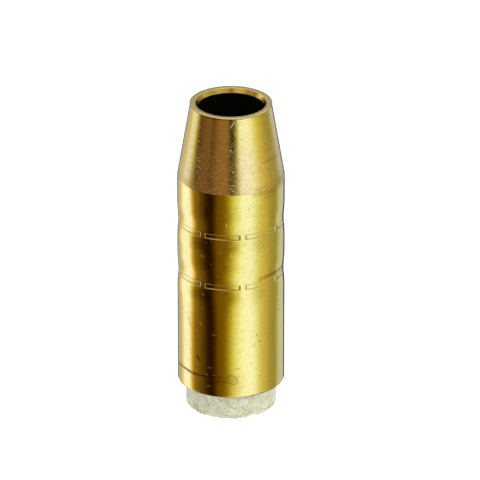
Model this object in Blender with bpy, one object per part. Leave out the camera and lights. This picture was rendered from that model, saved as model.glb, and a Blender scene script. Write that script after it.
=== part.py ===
"""Insulated gas nozzle of a MIG welding torch: a brass shell crimped over a glass-fibre sleeve and a brass insert.

Units are metres. +Z runs along the nozzle towards its mouth, and the origin is the centre of the rear face of the
glass-fibre sleeve, which the nozzle stands on and which meets the torch.
"""

import math

import bmesh
import bpy

# Brass shell: one drawn tube, necked down to a cone at the nose and turned there
BODY_DIAMETER = 0.0254
TUBE_WALL = 0.0017
SHELL_LENGTH = 0.0711
NOSE_LENGTH = 0.0183
MOUTH_BORE = 0.0163
MOUTH_WALL = 0.00155
MOUTH_LAND = 0.0012
TURNED_STEP = 0.0001
SHELL_CHAMFER = 0.0003

# Crimp: two rows of marks that a collet of jaws presses into the shell, each in a shallow waist
CRIMP_FROM_NOSE = 0.0111
CRIMP_PITCH = 0.0130
CRIMP_DEPTH = 0.00022
CRIMP_HALF_WIDTH = 0.0048
JAW_COUNT = 8
JAW_GAP_ANGLE = math.radians(6.0)
JAW_PHASE = math.radians(13.0)
JAW_MARK_HEIGHT = 0.0011
JAW_MARK_DEPTH = 0.00018

# Glass-fibre sleeve: keeps the shell from touching the live torch
SLEEVE_WALL = 0.0015
SLEEVE_STANDOUT = 0.0065
SLEEVE_SETBACK = 0.0010
SLEEVE_CHAMFER = 0.0004

# Brass insert: the bore that slips over the torch's gas diffuser
INSERT_WALL = 0.0009
INSERT_RECESS = 0.0020
INSERT_SETBACK = 0.0030
INSERT_LEAD_IN = 0.0005

# Clearance between walls that the crimp presses together
FIT_GAP = 0.0003

# Facets round a turned piece, and points across one side of a crimp's waist
TURN_STEPS = 48
WAIST_STEPS = 3
MERGE_DISTANCE = 1e-6

BODY_RADIUS = BODY_DIAMETER / 2
BORE_RADIUS = BODY_RADIUS - TUBE_WALL
MOUTH_RADIUS = MOUTH_BORE / 2
MOUTH_OUTER_RADIUS = MOUTH_RADIUS + MOUTH_WALL
SLEEVE_RADIUS = BORE_RADIUS - FIT_GAP
SLEEVE_BORE_RADIUS = SLEEVE_RADIUS - SLEEVE_WALL
INSERT_RADIUS = SLEEVE_BORE_RADIUS - FIT_GAP
INSERT_BORE_RADIUS = INSERT_RADIUS - INSERT_WALL

SHELL_REAR = SLEEVE_STANDOUT
MOUTH_HEIGHT = SHELL_REAR + SHELL_LENGTH
NOSE_BASE = MOUTH_HEIGHT - NOSE_LENGTH
UPPER_CRIMP = NOSE_BASE - CRIMP_FROM_NOSE
LOWER_CRIMP = UPPER_CRIMP - CRIMP_PITCH
CRIMP_ROWS = (UPPER_CRIMP, LOWER_CRIMP)
SLEEVE_FRONT = NOSE_BASE - SLEEVE_SETBACK
INSERT_FRONT = SLEEVE_FRONT - INSERT_SETBACK


def clear_scene():
    """Remove every object of the scene."""
    for obj in list(bpy.data.objects):
        bpy.data.objects.remove(obj)


def finish(name, colour, roughness, metallic):
    """Return a Principled material of one colour."""
    material = bpy.data.materials.new(name)
    material.use_nodes = True
    shader = material.node_tree.nodes["Principled BSDF"]
    shader.inputs["Base Color"].default_value = (*colour, 1.0)
    shader.inputs["Roughness"].default_value = roughness
    shader.inputs["Metallic"].default_value = metallic
    return material


def waist(height):
    """Return how far the two crimps press a wall in at this height, as a raised cosine round each row."""
    depth = 0.0
    for row in CRIMP_ROWS:
        away = abs(height - row) / CRIMP_HALF_WIDTH
        if away < 1.0:
            depth += CRIMP_DEPTH * (1.0 + math.cos(math.pi * away)) / 2
    return depth


def waisted_wall(radius, top, bottom):
    """Return the points of a crimped wall of this radius between two heights, from the top down."""
    heights = [top, bottom]
    for row in CRIMP_ROWS:
        for step in range(-WAIST_STEPS, WAIST_STEPS + 1):
            heights.append(row + CRIMP_HALF_WIDTH * step / WAIST_STEPS)
    inside = sorted({h for h in heights if bottom <= h <= top}, reverse=True)
    return [(radius - waist(height), height) for height in inside]


def turned(name, profile, material):
    """Return a turned solid: the closed profile of (radius, height) points, swept round the Z axis."""
    mesh = bpy.data.meshes.new(name)
    points = [(radius, 0.0, height) for radius, height in profile]
    count = len(points)
    mesh.from_pydata(points, [(i, (i + 1) % count) for i in range(count)], [])
    mesh.materials.append(material)
    obj = bpy.data.objects.new(name, mesh)
    bpy.context.scene.collection.objects.link(obj)
    sweep = obj.modifiers.new("sweep", "SCREW")
    sweep.axis = "Z"
    sweep.angle = math.tau
    sweep.steps = TURN_STEPS
    sweep.render_steps = TURN_STEPS
    sweep.use_merge_vertices = True
    sweep.merge_threshold = MERGE_DISTANCE
    return obj


def jaw_mark_cutter():
    """Return the cutter of the crimp marks: for each row, one ring sector for each jaw of the collet."""
    pitch = math.tau / JAW_COUNT
    arc = pitch - JAW_GAP_ANGLE
    steps = TURN_STEPS // JAW_COUNT
    floor_radius = BODY_RADIUS - CRIMP_DEPTH - JAW_MARK_DEPTH
    radii = (floor_radius, BODY_RADIUS + CRIMP_DEPTH)
    shape = bmesh.new()
    for row in CRIMP_ROWS:
        heights = (row - JAW_MARK_HEIGHT / 2, row + JAW_MARK_HEIGHT / 2)
        for jaw in range(JAW_COUNT):
            start = JAW_PHASE + JAW_GAP_ANGLE / 2 + jaw * pitch
            angles = [start + arc * step / steps for step in range(steps + 1)]
            ring_sector(shape, radii, heights, angles)
    bmesh.ops.recalc_face_normals(shape, faces=shape.faces)
    mesh = bpy.data.meshes.new("jaw_mark_cutter")
    shape.to_mesh(mesh)
    shape.free()
    cutter = bpy.data.objects.new("jaw_mark_cutter", mesh)
    bpy.context.scene.collection.objects.link(cutter)
    cutter.hide_render = True
    cutter.display_type = "WIRE"
    return cutter


def ring_sector(shape, radii, heights, angles):
    """Add a block that is bent round the Z axis to the bmesh: two radii, two heights, and its angles in order."""
    corners = ((radii[0], heights[0]), (radii[1], heights[0]), (radii[1], heights[1]), (radii[0], heights[1]))
    sections = []
    for angle in angles:
        section = [
            shape.verts.new((radius * math.cos(angle), radius * math.sin(angle), height))
            for radius, height in corners
        ]
        sections.append(section)
    shape.faces.new(sections[0])
    shape.faces.new(reversed(sections[-1]))
    for near, far in zip(sections, sections[1:]):
        for i in range(len(corners)):
            j = (i + 1) % len(corners)
            shape.faces.new((near[j], near[i], far[i], far[j]))


def nozzle_shell(brass):
    """Build the outer shell: mouth, turned cone, crimped body and rear edge, then the bore back up to the mouth."""
    outside = [
        (MOUTH_OUTER_RADIUS - SHELL_CHAMFER, MOUTH_HEIGHT),
        (MOUTH_OUTER_RADIUS, MOUTH_HEIGHT - SHELL_CHAMFER),
        (BODY_RADIUS - TURNED_STEP, NOSE_BASE + TURNED_STEP),
        *waisted_wall(BODY_RADIUS, NOSE_BASE, SHELL_REAR + SHELL_CHAMFER),
        (BODY_RADIUS - SHELL_CHAMFER, SHELL_REAR),
    ]
    inside = [
        (MOUTH_RADIUS, MOUTH_HEIGHT),
        (MOUTH_RADIUS, MOUTH_HEIGHT - MOUTH_LAND),
        *waisted_wall(BORE_RADIUS, NOSE_BASE, SHELL_REAR),
    ]
    shell = turned("nozzle_shell", outside + inside[::-1], brass)
    marks = shell.modifiers.new("jaw_marks", "BOOLEAN")
    marks.operation = "DIFFERENCE"
    marks.object = jaw_mark_cutter()
    return shell


def insulator_sleeve(glass_fibre):
    """Build the glass-fibre sleeve, gripped by the crimps on both sides and standing out behind the shell."""
    outside = [
        *waisted_wall(SLEEVE_RADIUS, SLEEVE_FRONT, SLEEVE_CHAMFER),
        (SLEEVE_RADIUS - SLEEVE_CHAMFER, 0.0),
    ]
    inside = waisted_wall(SLEEVE_BORE_RADIUS, SLEEVE_FRONT, 0.0)
    return turned("insulator_sleeve", outside + inside[::-1], glass_fibre)


def slip_on_insert(brass):
    """Build the insert: its outside follows the crimps, and its bore is straight with a lead-in at the rear."""
    outside = waisted_wall(INSERT_RADIUS, INSERT_FRONT, INSERT_RECESS)
    inside = [
        (INSERT_BORE_RADIUS, INSERT_FRONT),
        (INSERT_BORE_RADIUS, INSERT_RECESS + INSERT_LEAD_IN),
        (INSERT_BORE_RADIUS + INSERT_LEAD_IN, INSERT_RECESS),
    ]
    return turned("slip_on_insert", outside + inside[::-1], brass)


def main():
    clear_scene()
    drawn_brass = finish("drawn_brass", (0.62, 0.46, 0.10), 0.28, 1.0)
    reamed_brass = finish("reamed_brass", (0.55, 0.40, 0.12), 0.35, 1.0)
    glass_fibre = finish("glass_fibre", (0.68, 0.66, 0.52), 0.75, 0.0)
    nozzle_shell(drawn_brass)
    insulator_sleeve(glass_fibre)
    slip_on_insert(reamed_brass)


main()
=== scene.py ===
"""Looks of an insulated gas nozzle for a MIG welding torch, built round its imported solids.

The brass shell, the glass-fibre sleeve and the slip-on insert each have a class that holds its sizes, builds
its mesh and dresses it. Lengths are metres and angles are radians, unless a name says otherwise. A bearing is
an angle round the nozzle's axis: 0 faces the camera, along -Y, and it grows towards +X.
"""

from __future__ import annotations

import logging
import math
from dataclasses import dataclass
from enum import Enum, IntEnum
from functools import reduce
from typing import Union

import bpy
import numpy as np
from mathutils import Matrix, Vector

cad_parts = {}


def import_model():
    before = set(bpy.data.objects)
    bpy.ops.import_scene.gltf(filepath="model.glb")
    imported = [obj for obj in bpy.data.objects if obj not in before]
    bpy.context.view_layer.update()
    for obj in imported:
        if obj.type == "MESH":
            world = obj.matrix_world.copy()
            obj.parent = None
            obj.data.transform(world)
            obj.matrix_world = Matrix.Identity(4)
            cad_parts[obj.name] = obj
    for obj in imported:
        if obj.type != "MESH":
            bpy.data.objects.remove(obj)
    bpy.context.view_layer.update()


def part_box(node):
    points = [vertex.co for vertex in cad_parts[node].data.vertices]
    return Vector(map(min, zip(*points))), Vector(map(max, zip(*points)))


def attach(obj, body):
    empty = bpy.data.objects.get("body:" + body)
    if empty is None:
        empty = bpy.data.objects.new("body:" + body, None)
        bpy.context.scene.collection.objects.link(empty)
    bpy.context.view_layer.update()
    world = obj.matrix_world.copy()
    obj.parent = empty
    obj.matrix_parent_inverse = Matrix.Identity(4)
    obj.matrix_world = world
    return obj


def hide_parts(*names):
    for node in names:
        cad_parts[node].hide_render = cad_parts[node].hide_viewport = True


MM = 0.001
BODY_OF_NOZZLE = "root"
LOG = logging.getLogger("nozzle")

Colour = tuple[float, float, float]
Place = tuple[float, float]
Band = tuple[float, float, float, float]
Socket = bpy.types.NodeSocket
Value = Union[float, tuple, Socket]


class Zone(IntEnum):
    """The surfaces of the shell that were finished in different ways."""

    NOSE = 0
    BODY = 1
    BORE = 2


class MarkKind(Enum):
    """What a handling mark on the brass is."""

    SCRATCH = "scratch"
    STAIN = "stain"
    PIT = "pit"
    SMEAR = "smear"


class Graph:
    """A node tree written as formulas: most methods add one node and return the socket that it gives."""

    def __init__(self, tree: bpy.types.NodeTree) -> None:
        """Write into this tree."""
        self.tree = tree

    def feed(self, socket: Socket, value: Value) -> None:
        """Link another socket into this one, or set its plain value."""
        if isinstance(value, Socket):
            self.tree.links.new(value, socket)
        else:
            socket.default_value = value

    def node(
        self, kind: str, inputs: dict[int | str, Value] | None = None, **settings: object
    ) -> bpy.types.Node:
        """Add a node.

        Args:
            kind: Blender's type name of the node.
            inputs: values or sockets for its inputs, by name or by index.
            settings: properties of the node.

        Returns:
            The new node.
        """
        made = self.tree.nodes.new(kind)
        for name, setting in settings.items():
            setattr(made, name, setting)
        for key, value in (inputs or {}).items():
            self.feed(made.inputs[key], value)
        return made

    def math(self, operation: str, *values: Value) -> Socket:
        """Return a Math node's result."""
        return self.node("ShaderNodeMath", dict(enumerate(values)), operation=operation).outputs[0]

    def vector(self, operation: str, *values: Value) -> Socket:
        """Return a Vector Math node's vector."""
        made = self.node("ShaderNodeVectorMath", dict(enumerate(values)), operation=operation)
        return made.outputs["Vector"]

    def measure(self, operation: str, *values: Value) -> Socket:
        """Return a Vector Math node's number, such as a length or a dot product."""
        made = self.node("ShaderNodeVectorMath", dict(enumerate(values)), operation=operation)
        return made.outputs["Value"]

    def scaled(self, vector: Value, factor: Value) -> Socket:
        """Return a vector multiplied by a number."""
        return self.node("ShaderNodeVectorMath", {0: vector, "Scale": factor}, operation="SCALE").outputs[0]

    def minus(self, first: Value, second: Value) -> Socket:
        """Return the difference of two numbers."""
        return self.math("SUBTRACT", first, second)

    def total(self, *values: Value) -> Socket:
        """Return the sum of two or more numbers."""
        return reduce(lambda first, second: self.math("ADD", first, second), values)

    def times(self, *values: Value) -> Socket:
        """Return the product of two or more numbers."""
        return reduce(lambda first, second: self.math("MULTIPLY", first, second), values)

    def largest(self, *values: Value) -> Socket:
        """Return the largest of several numbers."""
        return reduce(lambda first, second: self.math("MAXIMUM", first, second), values)

    def added(self, base: Value, *parts: tuple[Value, Value]) -> Socket:
        """Return a number with parts added to it, each multiplied by its own factor."""
        return reduce(lambda so_far, part: self.math("MULTIPLY_ADD", *part, so_far), parts, base)

    def ease(self, value: Value, low: Value, high: Value, start: Value = 0.0, end: Value = 1.0) -> Socket:
        """Return a smooth step: start up to low, end from high on."""
        inputs = {"Value": value, "From Min": low, "From Max": high, "To Min": start, "To Max": end}
        return self.node("ShaderNodeMapRange", inputs, interpolation_type="SMOOTHSTEP").outputs["Result"]

    def band(self, value: Value, rise: Value, full: Value, fade: Value, end: Value) -> Socket:
        """Return a soft band: 0 up to rise, 1 from full to fade, and 0 again from end on."""
        return self.times(self.ease(value, rise, full), self.ease(value, fade, end, 1.0, 0.0))

    def blend(self, share: Value, first: Value, second: Value) -> Socket:
        """Return a colour between two colours."""
        return self.node("ShaderNodeMix", {0: share, 6: first, 7: second}, data_type="RGBA").outputs[2]

    def axes(self, place: Value) -> tuple[Socket, ...]:
        """Return a vector's three numbers."""
        return tuple(self.node("ShaderNodeSeparateXYZ", {0: place}).outputs)

    def join(self, x: Value, y: Value, z: Value) -> Socket:
        """Return a vector made of three numbers."""
        return self.node("ShaderNodeCombineXYZ", {0: x, 1: y, 2: z}).outputs[0]

    def noise(self, place: Value, size: Value, detail: float = 2.0, roughness: float = 0.5) -> Socket:
        """Return a noise about 0.5 whose blotches measure about this size in metres."""
        scale = self.math("DIVIDE", 1.0, size) if isinstance(size, Socket) else 1.0 / size
        inputs = {"Vector": place, "Scale": scale, "Detail": detail, "Roughness": roughness}
        return self.node("ShaderNodeTexNoise", inputs).outputs[0]

    def bearing(self, x: Value, y: Value) -> Socket:
        """Return the bearing of a point or a direction from its x and y."""
        return self.math("ARCTAN2", x, self.times(y, -1.0))


class ShapeTree(Graph):
    """A geometry tree with named inputs, which is put on an object and baked into its mesh."""

    def __init__(self, name: str) -> None:
        """Start an empty tree of this name."""
        super().__init__(bpy.data.node_groups.new(name, "GeometryNodeTree"))
        self.tree.interface.new_socket("Geometry", in_out="INPUT", socket_type="NodeSocketGeometry")
        self.tree.interface.new_socket("Geometry", in_out="OUTPUT", socket_type="NodeSocketGeometry")
        self.entry = self.node("NodeGroupInput")
        self.identifiers: dict[str, str] = {}

    def size(self, name: str, kind: str = "NodeSocketFloat") -> Socket:
        """Add a named input and return its socket."""
        item = self.tree.interface.new_socket(name, in_out="INPUT", socket_type=kind)
        self.identifiers[name] = item.identifier
        return self.entry.outputs[name]

    def sizes(self, *names: str) -> tuple[Socket, ...]:
        """Add several named inputs and return their sockets."""
        return tuple(self.size(name) for name in names)

    def give(self, geometry: Socket, finishes: dict[str, Socket | bool]) -> None:
        """End the tree: realise the geometry and set its materials.

        Args:
            geometry: what the tree has made.
            finishes: for each name of a material input, the faces that take it (True for all).
        """
        flow = self.node("GeometryNodeRealizeInstances", {"Geometry": geometry}).outputs[0]
        flow = self.node("GeometryNodeSetShadeSmooth", {"Geometry": flow}).outputs[0]
        for name, faces in finishes.items():
            material = self.size(name, "NodeSocketMaterial")
            inputs = {"Geometry": flow, "Selection": faces, "Material": material}
            flow = self.node("GeometryNodeSetMaterial", inputs).outputs[0]
        self.node("NodeGroupOutput", {0: flow})

    def bake(self, obj: bpy.types.Object, values: dict[str, object]) -> None:
        """Put the tree on an object with these inputs and keep the result as its plain mesh.

        Args:
            obj: the object whose mesh goes into the tree.
            values: a value for each named input. Names that the tree doesn't have are passed over.
        """
        modifier = obj.modifiers.new(self.tree.name, "NODES")
        modifier.node_group = self.tree
        for name, identifier in self.identifiers.items():
            modifier[identifier] = values[name]
        graph = bpy.context.evaluated_depsgraph_get()
        made = obj.evaluated_get(graph)
        mesh = bpy.data.meshes.new_from_object(made, preserve_all_data_layers=True, depsgraph=graph)
        obj.modifiers.clear()
        draft = obj.data
        obj.data = mesh
        bpy.data.meshes.remove(draft)
        mesh.name = obj.name


@dataclass(frozen=True)
class Corner:
    """One corner of a turned profile, and the run from it to the next corner.

    Attributes:
        radius: distance from the axis.
        height: place along the axis.
        rounding: radius of the corner's own edge.
        spacing: largest distance between the rings of the run that follows.
        zone: finish of that run.
    """

    radius: float
    height: float
    rounding: float = 0.0
    spacing: float = 3.0 * MM
    zone: Zone = Zone.BORE

    def point(self) -> np.ndarray:
        """Return the corner as (radius, height)."""
        return np.array((self.radius, self.height))


@dataclass
class TurnedLattice:
    """A closed turned solid as a lattice of rings and columns.

    Attributes:
        corners: its profile as a closed loop, down the outside and back up the inside.
        bearings: the bearing of each column.
        arc_steps: faces across a rounded corner.
    """

    corners: list[Corner]
    bearings: np.ndarray
    arc_steps: int = 6

    def arc(self, index: int) -> list[np.ndarray]:
        """Return the points of one corner's edge, from the run before it to the run after it."""
        corner = self.corners[index]
        here = corner.point()
        if corner.rounding == 0.0:
            return [here]
        before = here - self.corners[index - 1].point()
        after = self.corners[(index + 1) % len(self.corners)].point() - here
        before = before / np.linalg.norm(before)
        after = after / np.linalg.norm(after)
        turn = math.acos(float(np.clip(before @ after, -1.0, 1.0)))
        reach = corner.rounding * math.tan(turn / 2)
        start, end = here - before * reach, here + after * reach
        shares = np.linspace(0.0, 1.0, self.arc_steps + 1)
        return [start * (1 - s) ** 2 + here * 2 * s * (1 - s) + end * s * s for s in shares]

    def rings(self) -> tuple[np.ndarray, list[Zone]]:
        """Return every ring's (radius, height), and the finish of the faces that follow it."""
        arcs = [self.arc(index) for index in range(len(self.corners))]
        points: list[np.ndarray] = []
        zones: list[Zone] = []
        for index, corner in enumerate(self.corners):
            start = arcs[index][-1]
            end = arcs[(index + 1) % len(arcs)][0]
            steps = max(1, math.ceil(float(np.linalg.norm(end - start)) / corner.spacing))
            run = [start + (end - start) * step / steps for step in range(1, steps)]
            points += arcs[index] + run
            zones += [corner.zone] * (len(arcs[index]) + len(run))
        return np.array(points), zones

    def mesh(self, name: str) -> bpy.types.Mesh:
        """Return the lattice as a mesh that faces outwards, with each face's finish as its zone attribute."""
        profile, zones = self.rings()
        radii, heights = profile[:, :1], profile[:, 1:]
        x = radii * np.sin(self.bearings)
        y = -radii * np.cos(self.bearings)
        points = np.stack((x, y, np.broadcast_to(heights, x.shape)), axis=-1).reshape(-1, 3)
        ring_count, column_count = x.shape
        ring, column = np.meshgrid(np.arange(ring_count), np.arange(column_count), indexing="ij")
        next_ring, next_column = (ring + 1) % ring_count, (column + 1) % column_count
        corners = ((ring, column), (next_ring, column), (next_ring, next_column), (ring, next_column))
        faces = np.stack([r * column_count + c for r, c in corners], axis=-1).reshape(-1, 4)
        mesh = bpy.data.meshes.new(name)
        mesh.from_pydata(points.tolist(), [], faces.tolist())
        zone = mesh.attributes.new("zone", "INT", "FACE")
        zone.data.foreach_set("value", np.repeat(np.array(zones, dtype=np.int32), column_count))
        return mesh


def even_bearings(count: int) -> np.ndarray:
    """Return this many bearings, spread evenly round the axis."""
    return np.linspace(-math.pi, math.pi, count, endpoint=False)


def new_piece(name: str, mesh: bpy.types.Mesh) -> bpy.types.Object:
    """Return a new object of the scene with this mesh, at the origin."""
    piece = bpy.data.objects.new(name, mesh)
    bpy.context.scene.collection.objects.link(piece)
    return piece


def named_sizes(owner: object) -> dict[str, object]:
    """Return a piece's sizes by the names that tree inputs have, such as Waist Depth for waist_depth."""
    return {name.replace("_", " ").title(): size for name, size in vars(owner).items()}


def stands_for(piece: bpy.types.Object, node: str) -> None:
    """Show a finished piece in place of its solid.

    Args:
        piece: the finished piece.
        node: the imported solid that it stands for.
    """
    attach(piece, BODY_OF_NOZZLE)
    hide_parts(node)
    LOG.info("%s stands for %s: %d faces", piece.name, node, len(piece.data.polygons))


@dataclass(frozen=True)
class HandlingMark:
    """A scratch, stain, pit or smear, drawn as strokes on the unrolled wall.

    Attributes:
        kind: what it is.
        path: points of (bearing in degrees, height in millimetres); a single point is a dot.
        width_mm: width of the stroke.
        strength: how much of the mark shows, from 0 to 1.
    """

    kind: MarkKind
    path: tuple[Place, ...]
    width_mm: float
    strength: float


class StrokeGroup(Graph):
    """The node group that draws one straight stroke: its strength on it, 0 off it, with a soft edge.

    Attributes:
        NAME: the group's name.
        CORE: share of the half width that shows in full.
        EDGE: share of the half width where the stroke has faded out.
    """

    NAME = "stroke"
    CORE = 0.4
    EDGE = 1.4

    def __init__(self) -> None:
        """Build the group."""
        super().__init__(bpy.data.node_groups.new(self.NAME, "ShaderNodeTree"))
        for name in ("Spot", "Start", "Run"):
            self.tree.interface.new_socket(name, in_out="INPUT", socket_type="NodeSocketVector")
        for name in ("Half Width", "Strength"):
            self.tree.interface.new_socket(name, in_out="INPUT", socket_type="NodeSocketFloat")
        self.tree.interface.new_socket("Shown", in_out="OUTPUT", socket_type="NodeSocketFloat")
        given = self.node("NodeGroupInput").outputs
        away = self.vector("SUBTRACT", given["Spot"], given["Start"])
        run_squared = self.measure("DOT_PRODUCT", given["Run"], given["Run"])
        share = self.math("DIVIDE", self.measure("DOT_PRODUCT", away, given["Run"]), run_squared)
        share = self.node("ShaderNodeClamp", {"Value": share}).outputs[0]
        apart = self.vector("SUBTRACT", away, self.scaled(given["Run"], share))
        core = self.times(given["Half Width"], self.CORE)
        edge = self.times(given["Half Width"], self.EDGE)
        shown = self.ease(self.measure("LENGTH", apart), core, edge, given["Strength"], 0.0)
        self.node("NodeGroupOutput", {0: shown})


class Finish(Graph):
    """A material under construction: its nodes, its Principled shader and the place on the piece.

    Attributes:
        FLECK_SQUASH: how many times narrower a fleck is than it is long.
        FLECK_CORE: share of a fleck that shows in full.
        SHAKE_SIZE: size of the shakes in a drawn stroke.
        SHAKE_REACH: how far they move it.
    """

    FLECK_SQUASH = 3.5
    FLECK_CORE = 0.4
    SHAKE_SIZE = 0.9 * MM
    SHAKE_REACH = 0.25 * MM

    def __init__(self, name: str) -> None:
        """Start a material of this name."""
        self.material = bpy.data.materials.new(name)
        self.material.use_nodes = True
        super().__init__(self.material.node_tree)
        self.shader = self.tree.nodes["Principled BSDF"]
        self.place = self.node("ShaderNodeTexCoord").outputs["Object"]

    def set(self, **inputs: Value) -> None:
        """Set the shader's inputs, whose names are written with _ for a space."""
        for name, value in inputs.items():
            self.feed(self.shader.inputs[name.replace("_", " ")], value)

    def paint(self, share: Value, under: Value, over: Colour) -> Socket:
        """Return a colour with a plain colour laid over a share of it."""
        return self.blend(share, under, (*over, 1.0))

    def coats(self, colour: Value, *coats: tuple[Socket, float, float, float, Colour]) -> Socket:
        """Return a colour with thin coats laid over it in order.

        Args:
            colour: the colour underneath.
            coats: for each coat its noise, the noise where it starts, the noise where it is full, its share
                there, and its colour.

        Returns:
            The colour on top.
        """
        for noise, start, full, share, tone in coats:
            colour = self.paint(self.ease(noise, start, full, 0.0, share), colour, tone)
        return colour

    def attribute(self, name: str) -> Socket:
        """Return a number that the piece's mesh holds under this name."""
        return self.node("ShaderNodeAttribute", attribute_name=name).outputs["Fac"]

    def stretched(self, along_axis: float, across: float = 1.0) -> Socket:
        """Return the place with its height, and the two ways across it, multiplied by these."""
        return self.vector("MULTIPLY", self.place, (across, across, along_axis))

    def bump(self, height: Socket, depth: float) -> Socket:
        """Return a normal that is tilted by a height from 0 to 1, which stands for this depth."""
        return self.node("ShaderNodeBump", {"Height": height, "Distance": depth}).outputs[0]

    def flecks(self, spacing: float, size: float, slant: float, share: float) -> Socket:
        """Return short flecks that lie scattered all over the piece.

        Args:
            spacing: rough distance between places where a fleck may lie.
            size: half of a fleck's length, as a share of the spacing.
            slant: how the flecks lean.
            share: share of the places that have one.

        Returns:
            1 on a fleck and 0 off it.
        """
        squash = (1.0, 1.0, self.FLECK_SQUASH)
        lean = {"Vector": self.place, "Rotation": (slant, slant, 0.0), "Scale": squash}
        leaning = self.node("ShaderNodeMapping", lean).outputs[0]
        cells = self.node("ShaderNodeTexVoronoi", {"Vector": leaning, "Scale": 1.0 / spacing}).outputs
        chosen = self.math("LESS_THAN", self.axes(cells["Color"])[0], share)
        return self.times(chosen, self.ease(cells["Distance"], size * self.FLECK_CORE, size, 1.0, 0.0))

    def unrolled(self, radius: float) -> Socket:
        """Return the place on a wall of this radius as (distance round it, height, 0), a bit unsteady."""
        x, y, z = self.axes(self.place)
        flat = self.join(self.times(self.bearing(x, y), radius), z, 0.0)
        shake = {"Vector": self.place, "Scale": 1.0 / self.SHAKE_SIZE, "Detail": 2.0}
        shaken = self.node("ShaderNodeTexNoise", shake).outputs["Color"]
        off_middle = self.vector("SUBTRACT", shaken, (0.5, 0.5, 0.5))
        return self.vector("MULTIPLY_ADD", off_middle, (self.SHAKE_REACH, self.SHAKE_REACH, 0.0), flat)

    def marks(self, all_marks: tuple[HandlingMark, ...], radius: float) -> dict[MarkKind, Socket]:
        """Draw the handling marks of a wall.

        Args:
            all_marks: marks of every kind.
            radius: radius of the wall that they are on.

        Returns:
            For each kind, how much of its marks shows at each place, from 0 to 1.
        """
        spot = self.unrolled(radius)
        group = bpy.data.node_groups[StrokeGroup.NAME]
        shown: dict[MarkKind, list[Socket]] = {kind: [] for kind in MarkKind}
        for mark in all_marks:
            points = [Vector((math.radians(b) * radius, h * MM, 0.0)) for b, h in mark.path]
            for start, end in zip(points, points[1:] or points):
                stroke = self.node("ShaderNodeGroup", node_tree=group)
                values = {"Spot": spot, "Start": start, "Run": end - start}
                values |= {"Half Width": mark.width_mm * MM / 2, "Strength": mark.strength}
                for name, value in values.items():
                    self.feed(stroke.inputs[name], value)
                shown[mark.kind].append(stroke.outputs[0])
        return {kind: self.largest(*strokes) for kind, strokes in shown.items()}


def scratch(width_mm: float, strength: float, *path: Place) -> HandlingMark:
    """Return a scratch of this width and strength along points of (bearing in degrees, height in mm)."""
    return HandlingMark(MarkKind.SCRATCH, path, width_mm, strength)


def stain(width_mm: float, strength: float, *path: Place) -> HandlingMark:
    """Return a dark stain of this width and strength along such points."""
    return HandlingMark(MarkKind.STAIN, path, width_mm, strength)


def pit(width_mm: float, strength: float, *path: Place) -> HandlingMark:
    """Return a dark pit of this width and strength at such a point."""
    return HandlingMark(MarkKind.PIT, path, width_mm, strength)


def smear(width_mm: float, strength: float, *path: Place) -> HandlingMark:
    """Return a brown smear of this width and strength along such points."""
    return HandlingMark(MarkKind.SMEAR, path, width_mm, strength)


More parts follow.
